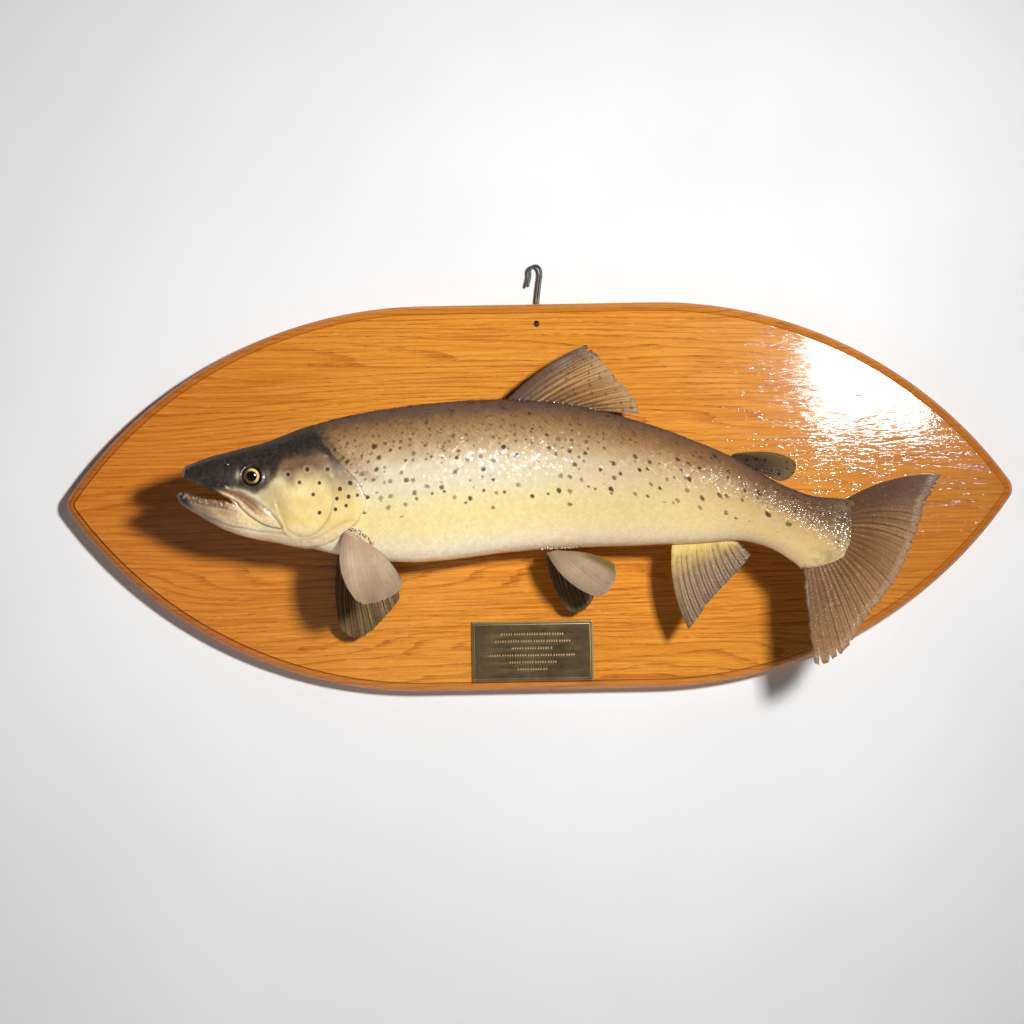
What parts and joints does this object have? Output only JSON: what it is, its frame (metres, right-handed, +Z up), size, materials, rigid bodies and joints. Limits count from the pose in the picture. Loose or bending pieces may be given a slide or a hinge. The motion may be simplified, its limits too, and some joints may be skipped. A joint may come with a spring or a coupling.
{
  "type": "mounted trout",
  "caption": "Life-size brown trout with an open mouth, mounted on a pointed oval oak board with a routed edge, a brass name plate and a wire hanging hook.",
  "frame": {"origin": "centre of the board's flat back face, which rests against the wall", "axes": "+X along the board towards the fish's tail, +Y into the wall, +Z up; the fish's left flank looks along -Y"},
  "size_m": [0.949, 0.1343, 0.4277],
  "materials": {
    "oak": "golden oak under a gloss varnish",
    "screw_steel": "dull steel",
    "plate_brass": "tarnished brass",
    "hook_wire": "weathered dark coated wire",
    "head_skin": "painted and varnished fish skin",
    "scaled_skin": "painted and varnished scaled skin",
    "eye_glass": "clear dome over a gold iris and black pupil",
    "fin": "dried, painted and varnished fin"
  },
  "bodies": {
    "root": {"board": "oak", "fixing_screw_1": "screw_steel", "fixing_screw_2": "screw_steel", "name_plate": "plate_brass", "hanger_hook": "hook_wire", "head": "head_skin", "lower_jaw": "head_skin", "maxilla_left": "head_skin", "maxilla_right": "head_skin", "gill_cover_left": "head_skin", "gill_cover_right": "head_skin", "trunk": "scaled_skin", "tail_stem": "scaled_skin", "eye_left": "eye_glass", "eye_right": "eye_glass", "dorsal_fin": "fin", "adipose_fin": "fin", "anal_fin": "fin", "caudal_fin": "fin", "pectoral_fin_left": "fin", "pectoral_fin_right": "fin", "pelvic_fin_left": "fin", "pelvic_fin_right": "fin"}
  },
  "joints": []
}
